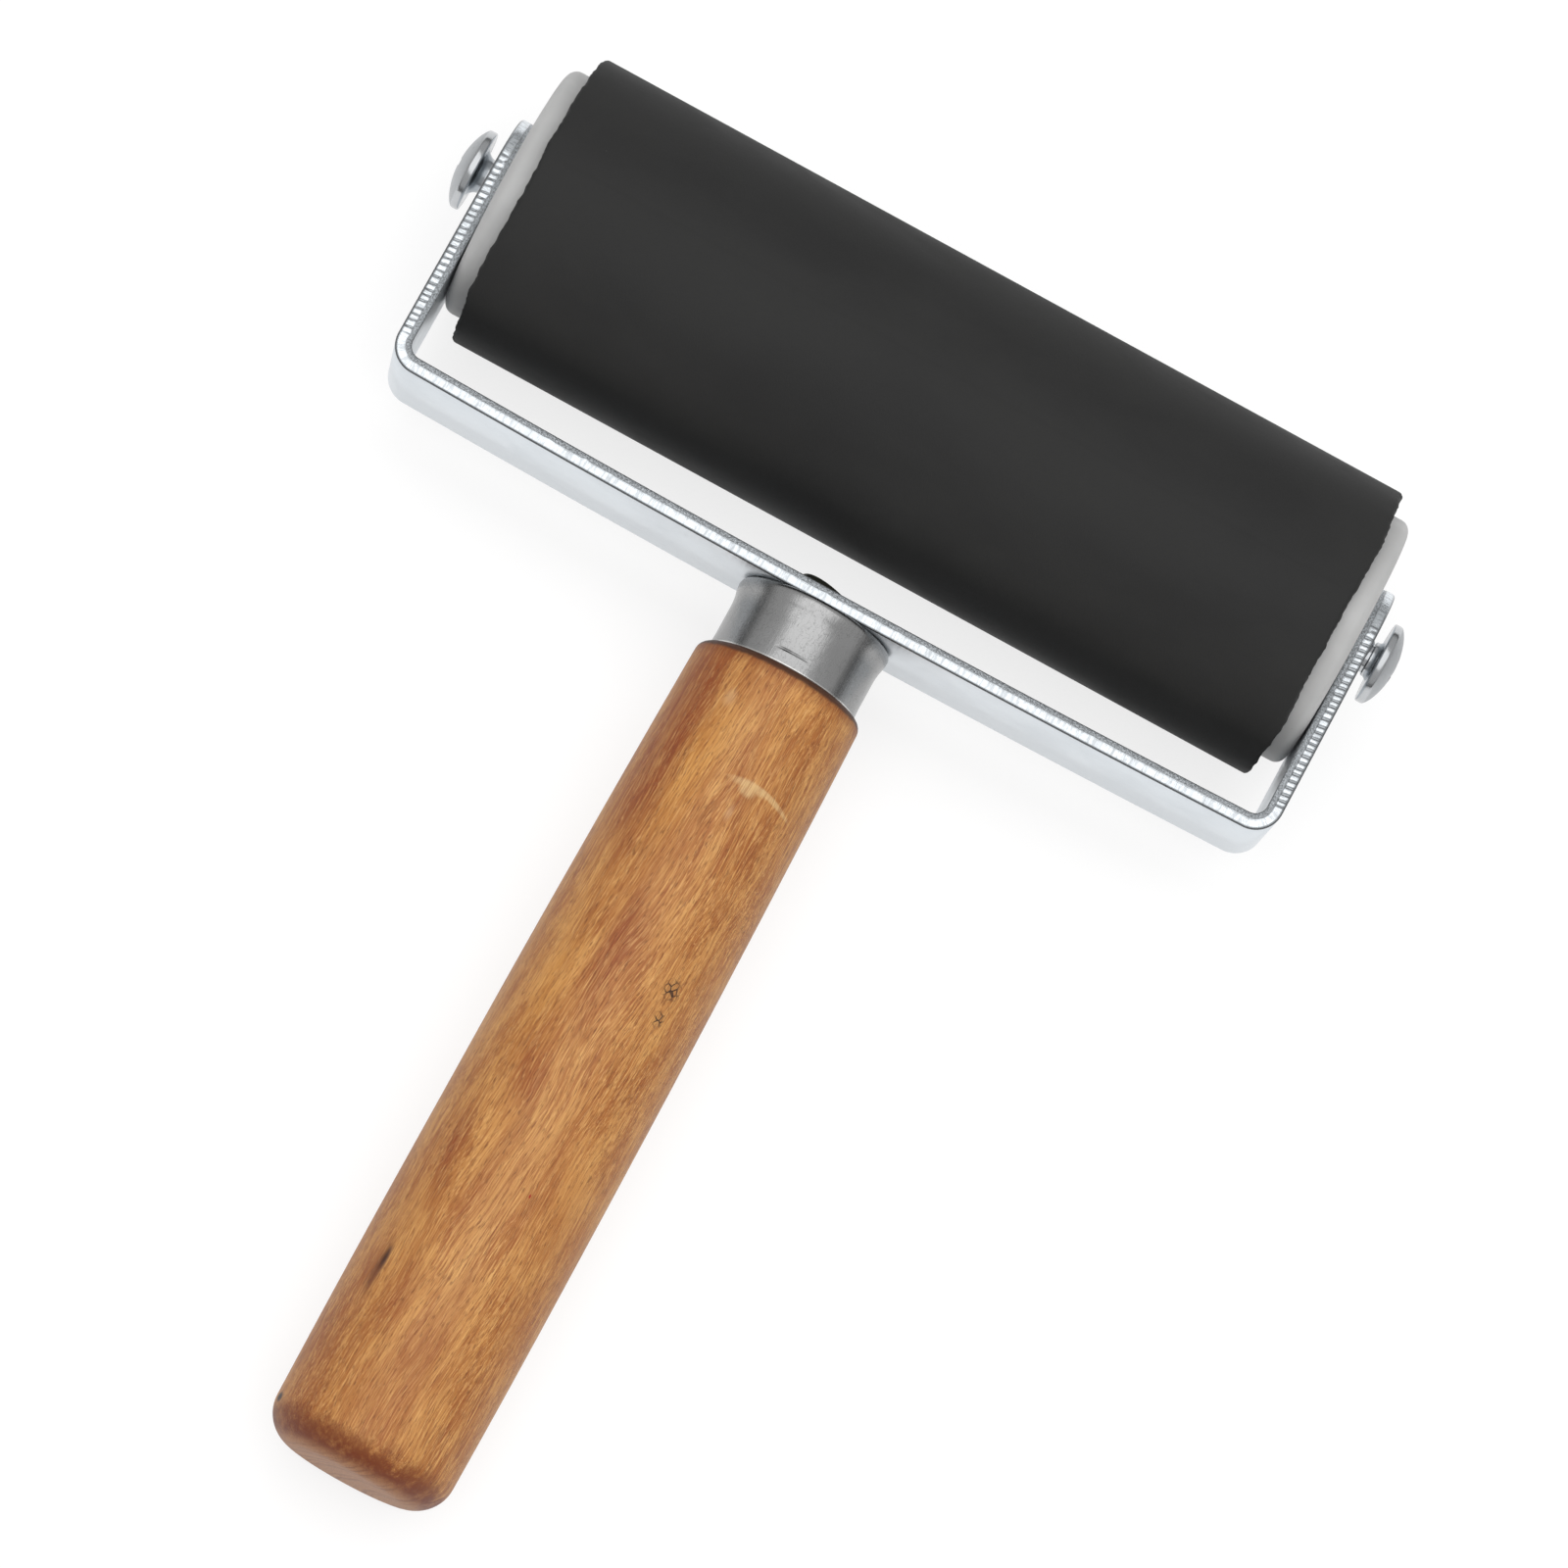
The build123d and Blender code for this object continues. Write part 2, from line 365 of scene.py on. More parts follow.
def strap_mesh(strap):
    """The strip: a flat blank with round ends and sheared edges, bent to a U before it is drilled."""
    levels = 11
    pitch = 0.13 * MM
    tip_steps = 40
    half_width = strap.width / 2
    axle = axle_run(strap)
    straight_steps = round(axle / pitch)
    runs = [axle * step / straight_steps for step in range(straight_steps)]
    runs += [axle + half_width * sin(pi / 2 * step / tip_steps) for step in range(tip_steps + 1)]
    runs = [-run for run in reversed(runs[1:])] + runs
    columns = len(runs) - 1

    bm = bmesh.new()
    flat = bmesh.ops.create_grid(bm, x_segments=columns, y_segments=2, size=1)
    for vertex in flat["verts"]:
        run = runs[round((vertex.co.x + 1) / 2 * columns)]
        beyond = max(abs(run) - axle, 0)
        room = sqrt(max(half_width ** 2 - beyond ** 2, 0))
        vertex.co = (run, vertex.co.y * room, 0)
    bmesh.ops.remove_doubles(bm, verts=bm.verts, dist=WELD)
    walls = bmesh.ops.extrude_face_region(bm, geom=bm.faces[:] + bm.edges[:] + bm.verts[:])
    raised = [part for part in walls["geom"] if isinstance(part, bmesh.types.BMVert)]
    bmesh.ops.translate(bm, verts=raised, vec=(0, 0, 1))
    posts = [edge for edge in bm.edges if abs(edge.verts[0].co.z - edge.verts[1].co.z) > 0.5]
    bmesh.ops.subdivide_edges(bm, edges=posts, cuts=levels - 1)
    bmesh.ops.recalc_face_normals(bm, faces=bm.faces)

    # The rim gets the sheared finish, and two maps carry its unrolled place and its marks; the marks' map also places
    # the painted shade of the grooves.
    for face in bm.faces:
        face.material_index = 0 if abs(face.normal.z) > 0.5 else 1
    strip = bm.loops.layers.uv.new("strip")
    groove_shade_and_torn = bm.loops.layers.uv.new("groove_shade_and_torn")
    marks = {}
    bm.verts.index_update()
    for vertex in bm.verts:
        run, across, height = vertex.co
        beyond = max(abs(run) - axle, 0)
        side = 1 if run > 0 else -1
        outward = Vector((side * beyond, across, 0))
        on_rim = outward.length > half_width - 5 * WELD
        # The inset fades away over the first millimetre inside the rim, so that no row is passed by another.
        share = max(1 - (half_width - outward.length) / MM, 0)
        if share > 0:
            outline = run if beyond == 0 else side * (axle + half_width * asin(min(beyond / half_width, 1)))
            height = height ** 1.2
            inset, groove, torn = shear_marks(strap, axle, outline, height, FAR_EDGE_SEED if across > 0 else 0)
            if on_rim:
                marks[vertex.index] = (outline, height * strap.thickness, groove, torn)
            shrunk = vertex.co - outward.normalized() * inset * share
            run, across = shrunk.x, shrunk.y
        point, heading = strap_path(strap, abs(run))
        inward = Vector((-sin(heading), cos(heading)))
        point += inward * (height - 0.5) * strap.thickness
        vertex.co = (side * point.x, point.y, across)
    for face in bm.faces:
        for loop in face.loops:
            place, height, groove, torn = marks.get(loop.vert.index, (0, 0, 0, 0))
            loop[strip].uv = (place, height)
            loop[groove_shade_and_torn].uv = (groove, torn)
    bmesh.ops.recalc_face_normals(bm, faces=bm.faces)
    return bm


def drill(bm, place, axis, radius, depth):
    """Cuts a round hole through bm."""
    cutter = bmesh.new()
    turn = Vector((0, 0, 1)).rotation_difference(Vector(axis)).to_matrix().to_4x4()
    bmesh.ops.create_cone(cutter, cap_ends=True, segments=64, radius1=radius, radius2=radius, depth=depth,
                          matrix=Matrix.Translation(place) @ turn)
    carve(bm, cutter)


def cross_recess(bm, head_height, turn):
    """Sinks the two tapered slots of a cross recess into a head that faces +Z."""
    for quarter in (0, pi / 2):
        cutter = bmesh.new()
        bmesh.ops.create_cube(cutter, size=1)
        for vertex in cutter.verts:
            length, width, level = (4.8, 0.95, 0.4) if vertex.co.z > 0 else (2.6, 0.6, -1.35)
            vertex.co.x *= length * MM
            vertex.co.y *= width * MM
            vertex.co.z = head_height + level * MM
        bmesh.ops.rotate(cutter, verts=cutter.verts, matrix=Matrix.Rotation(turn + quarter, 3, "Z"))
        carve(bm, cutter)


def screw_mesh(head_radius, head_height, rim, crown, shank_radius, length, thread_start, turn):
    """A pan-head screw whose head stands on the origin and faces +Z, with its shank below.

    crown holds the two powers of the head's profile: a high first power gives a flatter top.
    thread_start is how far below the head the thread begins, and turn is the angle of its recess.
    """
    bm = bmesh.new()
    root, neck = shank_radius - THREAD_HEIGHT, shank_radius - 0.04 * MM
    point = 4 * MM
    dome_steps = 18
    shares = [cos(pi / 2 * step / dome_steps) for step in range(2, dome_steps + 1)]
    dome = [(head_radius * share, 0, rim + (head_height - rim) * (1 - share ** crown[0]) ** crown[1])
            for share in shares]
    outline = [(0, 0, -length), (0.2 * MM, 0, -length), (root, 0, point - length), (root, 0, -thread_start),
               (neck, 0, -thread_start + 0.15 * MM), (neck, 0, 0), (head_radius, 0, 0), (head_radius, 0, rim)] + dome
    corners = wire(bm, outline)
    round_corner(bm, corners[5], min(1.15 * MM, thread_start - 0.25 * MM), 8)
    round_corner(bm, corners[6], 0.2 * MM, 3)
    round_corner(bm, corners[7], 0.12 * MM, 3)
    spin_round(bm, (0, 0, 1), 96)
    cross_recess(bm, head_height, turn)

    # The thread is a ridge of its own, whose foot is inside the shank.
    turns = (length - point - thread_start) / THREAD_PITCH
    inside, flank = root - 0.08 * MM, THREAD_PITCH * 0.32
    ridge = wire(bm, [(inside, 0, -thread_start - flank), (shank_radius, 0, -thread_start),
                      (inside, 0, -thread_start + flank)], True)
    edges = [bm.edges.get((ridge[number], ridge[number - 1])) for number in range(3)]
    steps = round(turns * 28)
    swept = bmesh.ops.spin(bm, geom=ridge + edges, cent=(0, 0, 0), axis=(0, 0, 1), angle=2 * pi * turns,
                           dvec=(0, 0, -THREAD_PITCH * turns / steps), steps=steps, use_merge=False)
    last = [part for part in swept["geom_last"] if isinstance(part, bmesh.types.BMVert)]
    bm.faces.new(ridge)
    bm.faces.new(last)
    bmesh.ops.recalc_face_normals(bm, faces=bm.faces)
    return bm


def ferrule_mesh(handle):
    """The drawn steel cup, swollen at its closed end and a touch bell-mouthed at the wood."""
    bm = bmesh.new()
    top, bottom = FERRULE_HIGH.y, FERRULE_LOW.y
    outer, bead, wall = handle.ferrule_radius, FERRULE_HIGH.x, handle.ferrule_wall
    outline = [(HANDLE_HOLE_RADIUS, top), (bead, top), (bead, top - handle.bead_height / 2),
               (outer, top - handle.bead_height), (outer, bottom + 1.6 * MM),
               (outer + 0.06 * MM, bottom), (outer - wall, bottom), (outer - wall, top - wall),
               (HANDLE_HOLE_RADIUS, top - wall)]
    corners = wire(bm, [(radius, y, 0) for radius, y in outline], True)
    for number, radius in ((1, 0.75 * MM), (2, 0.6 * MM), (3, 0.9 * MM), (5, 0.12 * MM)):
        round_corner(bm, corners[number], radius, 6)
    divide_long(bm, 3 * MM, 6)
    spin_round(bm, (0, 1, 0), 160)
    return bm


def grip_radius(handle, share):
    """Radius of the grip at a share of its length from the shoulder to the butt."""
    straight = handle.top_radius + (handle.butt_radius - handle.top_radius) * share
    return straight + 4 * handle.belly * share * (1 - share)


def grip_mesh(handle):
    """The turned grip with its tenon, not quite true after sanding by hand."""
    bm = bmesh.new()
    shoulder, butt, end = FERRULE_LOW.y, GRIP_LOW.y, GRIP_HIGH.y
    tenon, pilot = handle.ferrule_radius - handle.ferrule_wall, HANDLE_SHANK_RADIUS
    bottom = end - PILOT_DEPTH
    stations = 44
    outline = [(0, bottom), (pilot, bottom), (pilot, end), (tenon, end), (tenon, shoulder)]
    outline += [(grip_radius(handle, step / stations), shoulder + (butt - shoulder) * step / stations)
                for step in range(stations + 1)]
    outline.append((0, butt))
    del outline[-3]  # leaves room for the butt's rounding
    corners = wire(bm, [(radius, y, 0) for radius, y in outline])
    round_corner(bm, corners[5], handle.shoulder_round, 6)
    round_corner(bm, corners[-2], handle.butt_round, 14)
    divide_long(bm, 4 * MM, 4)
    spin_round(bm, (0, 1, 0), 160)
    for vertex in bm.verts:
        radial = Vector((vertex.co.x, 0, vertex.co.z))
        if radial.length > tenon + 0.2 * MM:
            swell = noise.noise(Vector((vertex.co.x, vertex.co.y * 0.35, vertex.co.z)) / (9 * MM))
            vertex.co += radial.normalized() * 0.05 * MM * swell
    return bm


# ---------------------------------------------------------------- finishes


def fill(tree, item, inputs):
    """Sets a node's inputs to values or joins them to sockets."""
    for name, value in inputs.items():
        if isinstance(value, bpy.types.NodeSocket):
            tree.links.new(value, item.inputs[name])
        else:
            item.inputs[name].default_value = value


def add(tree, kind, inputs=None, **settings):
    """A new node with its settings made and its inputs filled."""
    item = tree.nodes.new(kind)
    for name, value in settings.items():
        setattr(item, name, value)
    fill(tree, item, inputs or {})
    return item


def sums(tree, operation, first, second=0.0):
    """The result of one Math node."""
    return add(tree, "ShaderNodeMath", {0: first, 1: second}, operation=operation).outputs[0]


def product(tree, first, second):
    """Two values multiplied."""
    return sums(tree, "MULTIPLY", first, second)


def vectors(tree, operation, first, second):
    """The result of one Vector Math node."""
    return add(tree, "ShaderNodeVectorMath", {0: first, 1: second}, operation=operation).outputs[0]


def length_of(tree, vector):
    """The length of a vector."""
    return add(tree, "ShaderNodeVectorMath", {0: vector}, operation="LENGTH").outputs["Value"]


def split(tree, vector):
    """The three parts of a vector."""
    return add(tree, "ShaderNodeSeparateXYZ", {0: vector}).outputs


def joined(tree, *parts):
    """A vector of up to three parts."""
    return add(tree, "ShaderNodeCombineXYZ", dict(enumerate(parts))).outputs[0]


def ramp(tree, value, low, high, to_low=0.0, to_high=1.0):
    """A smooth ramp of value from low..high to to_low..to_high."""
    item = add(tree, "ShaderNodeMapRange", interpolation_type="SMOOTHSTEP", clamp=True,
               inputs={0: value, 1: low, 2: high, 3: to_low, 4: to_high})
    return item.outputs[0]


def blend(tree, share, first, second):
    """Two colours mixed by a share."""
    return add(tree, "ShaderNodeMix", {0: share, 6: first, 7: second}, data_type="RGBA").outputs[2]


def tinted(tree, base, mask, strength, tint):
    """A base colour with a tint laid over it where a mask is set."""
    return blend(tree, product(tree, mask, strength), base, tint)


def stretch(tree, place, scale, turn=0.0):
    """Coordinates turned about Z and then scaled."""
    turned = add(tree, "ShaderNodeMapping", {"Vector": place, "Rotation": (0, 0, turn)}).outputs[0]
    return vectors(tree, "MULTIPLY", turned, scale)


def grain(tree, place, scale=1.0, detail=2.0, rough=0.5, warp=0.0):
    """Noise from 0 to 1 at a place."""
    return add(tree, "ShaderNodeTexNoise", {"Vector": place, "Scale": scale, "Detail": detail,
                                            "Roughness": rough, "Distortion": warp}).outputs[0]


def rgba(value, factor=1.0):
    """A colour times a factor, with full opacity."""
    return (*(part * factor for part in value), 1.0)


def tool_place(tree):
    """Object coordinates turned and centred to the tool's own frame, in millimetres."""
    coordinates = tree.nodes.new("ShaderNodeTexCoord")
    return add(tree, "ShaderNodeMapping", {"Vector": coordinates.outputs["Object"], "Location": TOOL.translation,
                                           "Rotation": TOOL.to_euler(), "Scale": (MM, MM, MM)},
               vector_type="TEXTURE").outputs[0]


VECTOR, FLOAT = "NodeSocketVector", "NodeSocketFloat"


def node_group(name, inputs):
    """An empty node group with named inputs and a mask as its output; gives it and its two end nodes."""
    tree = bpy.data.node_groups.new(name, "ShaderNodeTree")
    for title, kind, default in inputs:
        socket = tree.interface.new_socket(title, in_out="INPUT", socket_type=kind)
        if default is not None:
            socket.default_value = default
    tree.interface.new_socket("Mask", in_out="OUTPUT", socket_type=FLOAT)
    return tree, tree.nodes.new("NodeGroupInput"), tree.nodes.new("NodeGroupOutput")


def spot_group():
    """One soft oval mark: 1 in its middle and 0 outside."""
    tree, given, result = node_group("Brayer Spot", [("Place", VECTOR, None), ("Middle", VECTOR, (0, 0, 0)),
                                                     ("Size", VECTOR, (1, 1, 1)), ("Edge", FLOAT, 0.5)])
    place, middle, size, edge = given.outputs[:4]
    far = length_of(tree, vectors(tree, "DIVIDE", vectors(tree, "SUBTRACT", place, middle), size))
    tree.links.new(ramp(tree, far, sums(tree, "SUBTRACT", 1.0, edge), 1.0, 1.0, 0.0), result.inputs[0])
    return tree


def thin_lines(tree, value, width):
    """1 where a value crosses its middle, falling to 0 within a width."""
    away = sums(tree, "ABSOLUTE", sums(tree, "SUBTRACT", value, 0.5))
    return ramp(tree, away, 0.0, width, 1.0, 0.0)


def scuff_group():
    """Fine hairline scuffs in bundles, 1 on a scuff and 0 between."""
    tree, given, result = node_group("Brayer Scuffs", [("Place", VECTOR, None), ("Density", FLOAT, 0.5),
                                                       ("Stretch", VECTOR, (1, 1, 1))])
    place, density, stretched = given.outputs[:3]
    lines = grain(tree, vectors(tree, "MULTIPLY", place, stretched), 1.0, 3.0, 0.6, 0.4)
    bundles = grain(tree, place, 0.35, 2.0)
    limit = sums(tree, "SUBTRACT", 0.75, product(tree, density, 0.5))
    here = ramp(tree, bundles, limit, sums(tree, "ADD", limit, 0.12))
    tree.links.new(product(tree, thin_lines(tree, lines, 0.03), here), result.inputs[0])
    return tree


def speck_group():
    """Scattered small specks, 1 on a speck and 0 between."""
    tree, given, result = node_group("Brayer Specks", [("Place", VECTOR, None), ("Spacing", FLOAT, 2.0),
                                                       ("Size", FLOAT, 0.1), ("Share", FLOAT, 0.3)])
    place, spacing, size, share = given.outputs[:4]
    cells = add(tree, "ShaderNodeTexVoronoi", {"Vector": place, "Scale": sums(tree, "DIVIDE", 1.0, spacing)})
    chosen = add(tree, "ShaderNodeSeparateColor", {0: cells.outputs["Color"]}).outputs[0]
    reach = product(tree, size, sums(tree, "ADD", 0.4, chosen))
    dot = ramp(tree, cells.outputs["Distance"], 0.0, reach, 1.0, 0.0)
    tree.links.new(product(tree, dot, sums(tree, "LESS_THAN", chosen, share)), result.inputs[0])
    return tree


def cloud_group():
    """Broad soft patches, from 0 to 1."""
    tree, given, result = node_group("Brayer Clouds", [("Place", VECTOR, None), ("Size", FLOAT, 10.0),
                                                       ("Contrast", FLOAT, 0.5), ("Stretch", VECTOR, (1, 1, 1))])
    place, size, contrast, stretched = given.outputs[:4]
    drawn = vectors(tree, "MULTIPLY", place, stretched)
    soft = grain(tree, drawn, sums(tree, "DIVIDE", 1.0, size), 4.0, 0.55, 0.3)
    half = sums(tree, "SUBTRACT", 0.5, product(tree, contrast, 0.4))
    tree.links.new(ramp(tree, soft, half, sums(tree, "SUBTRACT", 1.0, half)), result.inputs[0])
    return tree


def mask(tree, name, build, inputs):
    """The mask of a node group, which is built the first time that it is needed."""
    group = bpy.data.node_groups.get(name) or build()
    return add(tree, "ShaderNodeGroup", inputs, node_tree=group).outputs[0]


def spot(tree, place, middle, size, edge=0.9):
    """One soft oval mark's mask."""
    return mask(tree, "Brayer Spot", spot_group, {"Place": place, "Middle": middle, "Size": size, "Edge": edge})


def scuffs(tree, place, density, stretched):
    """The mask of fine scuffs."""
    return mask(tree, "Brayer Scuffs", scuff_group, {"Place": place, "Density": density, "Stretch": stretched})


def specks(tree, place, spacing, size, share):
    """The mask of scattered specks."""
    return mask(tree, "Brayer Specks", speck_group,
                {"Place": place, "Spacing": spacing, "Size": size, "Share": share})


def clouds(tree, place, size, contrast, stretched=(1, 1, 1)):
    """The mask of broad soft patches."""
    return mask(tree, "Brayer Clouds", cloud_group,
                {"Place": place, "Size": size, "Contrast": contrast, "Stretch": stretched})


def new_finish(name):
    """A new material with an empty tree and its Principled BSDF joined to the output."""
    material = bpy.data.materials.new(name)
    material.use_nodes = True
    tree = material.node_tree
    tree.nodes.clear()
    shader = tree.nodes.new("ShaderNodeBsdfPrincipled")
    output = tree.nodes.new("ShaderNodeOutputMaterial")
    tree.links.new(shader.outputs[0], output.inputs[0])
    return material, tree, shader


def bumped(tree, height, depth, strength, under=None):
    """A normal raised by a height of 0 to 1 on top of another normal, depth in metres."""
    inputs = {"Height": height, "Distance": depth, "Strength": strength}
    if under:
        inputs["Normal"] = under
    return add(tree, "ShaderNodeBump", inputs).outputs[0]


def rubber_finish(roller):
    """Ground black rubber with dull smudges and a few specks of dust."""
    material, tree, shader = new_finish("black_rubber")
    place = tool_place(tree)
    smudge = clouds(tree, place, 22, 0.55, (0.8, 1.6, 1.6))
    bloom = clouds(tree, place, 5, 0.9)
    dull = product(tree, smudge, sums(tree, "ADD", 0.55, product(tree, bloom, 0.45)))
    base = blend(tree, dull, rgba(roller.rubber), rgba(roller.dust))
    lint = specks(tree, place, 3.2, 0.045, 0.22)
    base = tinted(tree, base, lint, 0.5, rgba((0.12, 0.12, 0.12)))
    ground = grain(tree, stretch(tree, place, (5.5, 2.2, 2.2)), 1.0, 3.0, 0.6)
    fill(tree, shader, {"Base Color": base, "Roughness": ramp(tree, dull, 0, 1, 0.62, 0.78),
                        "Specular IOR Level": 0.22, "Normal": bumped(tree, ground, 0.05 * MM, 0.35)})
    return material


def plastic_finish(roller):
    """Grey moulded plastic with fine pits and faint turning marks."""
    material, tree, shader = new_finish("grey_plastic")
    place = tool_place(tree)
    clouded = clouds(tree, place, 6, 0.5)
    base = blend(tree, clouded, rgba(roller.plastic), rgba(roller.plastic, 0.93))
    dirt_and_joint_shade = specks(tree, place, 1.9, 0.10, 0.35)
    base = tinted(tree, base, dirt_and_joint_shade, 0.55, rgba((0.10, 0.095, 0.09)))
    turned = grain(tree, stretch(tree, place, (7, 0.35, 0.35)), 1.0, 2.0)
    fill(tree, shader, {"Base Color": base, "Roughness": ramp(tree, clouded, 0, 1, 0.42, 0.52),
                        "Normal": bumped(tree, turned, 0.03 * MM, 0.4)})
    return material


def zinc_finish(name, plated, stretched, worn, roughness):
    """Zinc plate with a faint cool bloom and fine handling marks; gives its tree and shader too."""
    material, tree, shader = new_finish(name)
    place = tool_place(tree)
    bloom = clouds(tree, place, 7, 0.6)
    marks = scuffs(tree, place, 0.45, stretched)
    base = blend(tree, bloom, rgba(plated), rgba(plated, 1 - 0.12 * worn))
    base = tinted(tree, base, marks, 0.35 * worn, rgba(plated, 0.7))
    dots = specks(tree, place, 1.6, 0.06, 0.2)
    base = tinted(tree, base, dots, 0.4, rgba(plated, 0.45))
    rolled = grain(tree, stretch(tree, place, (0.8, 2.5, 2.5)), 1.0, 3.0)
    rough = ramp(tree, sums(tree, "ADD", bloom, marks), 0, 1.6, roughness, roughness + 0.12)
    fill(tree, shader, {"Base Color": base, "Metallic": 1.0, "Roughness": rough,
                        "Normal": bumped(tree, rolled, 0.02 * MM, 0.5 * worn)})
    return material, tree, shader


def screw_finish(screws):
    """Zinc-plated screws: satin domes with glossy rims."""
    material, tree, shader = zinc_finish("zinc_plated_screw", screws.zinc, (3, 1, 1), 1.0, 0.16)
    out = sums(tree, "ABSOLUTE", split(tree, tool_place(tree))[0])
    rim = (screws.axle_seat + screws.axle_head_rim) / MM
    dome = ramp(tree, out, rim - 0.05, rim + 0.30)
    rough = shader.inputs["Roughness"].links[0].from_socket
    fill(tree, shader, {"Roughness": sums(tree, "ADD", rough, product(tree, dome, 0.40))})
    return material


def sheared_finish(strap):
    """The strap's cut edge: a rolled rim and a fallen inner edge darkened with painted shade, a bright band whose
    grooves carry painted shade, and a dull torn band.
    """
    material, tree, shader = new_finish("zinc_plated_strap_edge")
    strip = add(tree, "ShaderNodeUVMap", uv_map="strip").outputs[0]
    groove, torn = split(tree, add(tree, "ShaderNodeUVMap", uv_map="groove_shade_and_torn").outputs[0])[:2]
    scaled = vectors(tree, "MULTIPLY", strip, (1 / MM, 1 / MM, 1))
    height = split(tree, scaled)[1]
    fine = grain(tree, stretch(tree, scaled, (2.8, 0.5, 0)), 1.0, 4.0, 0.7)
    grit = grain(tree, stretch(tree, scaled, (4.5, 4.5, 0)), 1.0, 3.0, 0.75)
    plated = [min(part * 1.08, 1) for part in strap.zinc]
    # dark and middle are darker copies of the plate: they paint shade in the grooves, on the rolled rim and on the
    # fallen inner edge, and dark also marks the torn band's border.
    dark, middle = rgba(plated, 0.26), rgba(plated, 0.60)
    burnished_with_groove_shade = blend(tree, ramp(tree, fine, 0.47, 0.60, 0, 0.60), rgba(plated), rgba(plated, 0.55))
    # Painted shade in the grooves: dark flanks and a mid-grey floor.
    burnished_with_groove_shade = blend(tree, ramp(tree, groove, 0.12, 0.50, 0, 0.92), burnished_with_groove_shade, dark)
    burnished_with_groove_shade = blend(tree, ramp(tree, groove, 0.72, 0.95, 0, 0.75), burnished_with_groove_shade, middle)
    broken = blend(tree, ramp(tree, grit, 0.40, 0.60), rgba(plated, 0.45), rgba(plated))
    base = blend(tree, torn, burnished_with_groove_shade, broken)
    border = product(tree, ramp(tree, torn, 0.05, 0.5), ramp(tree, torn, 0.95, 0.5))
    base = tinted(tree, base, border, 0.75, dark)
    # Painted shade on the rolled rim at the outer face, and on the inner edge where it falls away.
    base = blend(tree, ramp(tree, height, 0.38, 0.22, 0, 0.60), base, middle)
    base = blend(tree, ramp(tree, height, 0.20, 0.09, 0, 0.90), base, rgba(plated, 0.13))
    base = blend(tree, ramp(tree, height, 1.70, 1.80, 0, 0.75), base, dark)
    relief = bumped(tree, fine, 0.06 * MM, 0.6)
    relief = bumped(tree, product(tree, grit, torn), 0.16 * MM, 0.9, relief)
    fill(tree, shader, {"Base Color": base, "Metallic": 1.0, "Roughness": ramp(tree, torn, 0, 1, 0.24, 0.44),
                        "Normal": relief})
    return material


def steel_finish(handle):
    """Bare drawn steel with painted shade on its flanks and a painted highlight along its rim at the wood, with
    hairlines, specks and one scuff at the front.
    """
    material, tree, shader = new_finish("bare_steel")
    place = tool_place(tree)
    bloom = clouds(tree, place, 4, 0.7, (1, 0.4, 1))
    drawn = grain(tree, stretch(tree, place, (5, 0.5, 5)), 1.0, 3.0, 0.6)
    marks = scuffs(tree, place, 0.8, (1.6, 1.1, 1.6))
    base = blend(tree, bloom, rgba(handle.steel), rgba(handle.steel, 0.86))
    base = tinted(tree, base, marks, 0.4, rgba(handle.steel, 0.55))
    foot = FERRULE_LOW.y / MM
    ring = spot(tree, stretch(tree, place, (0, 1, 0)), (0, foot + 1.65, 0), (1, 0.22, 1), 0.9)
    front = spot(tree, place, (-0.3, foot + 1.65, 8.6), (2.3, 3, 1.2), 0.5)
    rubbed = ramp(tree, grain(tree, stretch(tree, place, (0.5, 0.2, 1)), 1.0, 2.0), 0.35, 0.6, 0.45, 1)
    worn = product(tree, product(tree, ring, front), rubbed)
    base = tinted(tree, base, worn, 0.55, rgba((0.12, 0.12, 0.12)))
    # Painted shade: the steel turns darker towards its flanks, left and right of the axis.
    flank = sums(tree, "ABSOLUTE", split(tree, place)[0])
    base = blend(tree, ramp(tree, flank, 5.0, 6.0, 0, 0.7), base, rgba(handle.steel, 0.66))
    # Painted highlight: a pale line along the rim where the ferrule meets the wood.
    painted_rim_highlight = spot(tree, stretch(tree, place, (0, 1, 0)), (0, foot, 0), (1, 0.28, 1), 0.7)
    base = blend(tree, painted_rim_highlight, base, rgba((0.80, 0.79, 0.77)))
    specked = specks(tree, place, 1.1, 0.10, 0.3)
    base = tinted(tree, base, specked, 0.5, rgba((0.12, 0.12, 0.12)))
    relief = bumped(tree, drawn, 0.03 * MM, 0.45)
    relief = bumped(tree, sums(tree, "SUBTRACT", 1.0, worn), 0.12 * MM, 0.8, relief)
    fill(tree, shader, {"Base Color": base, "Metallic": 1.0,
                        "Roughness": ramp(tree, sums(tree, "ADD", drawn, marks), 0.3, 1.6, 0.25, 0.38),
                        "Normal": relief})
    return material


def blackened_finish(screws):
    """Oiled black oxide, a little olive, rubbed bright in small places."""
    material, tree, shader = new_finish("blackened_screw")
    place = tool_place(tree)
    rubbed = clouds(tree, place, 1.6, 0.9)
    base = blend(tree, ramp(tree, rubbed, 0.6, 1.0), rgba(screws.blackened), rgba((0.16, 0.15, 0.11)))
    fill(tree, shader, {"Base Color": base, "Metallic": 0.6, "Roughness": ramp(tree, rubbed, 0, 1, 0.46, 0.32),
                        "Normal": bumped(tree, grain(tree, place, 6.0, 3.0), 0.03 * MM, 0.5)})
    return material


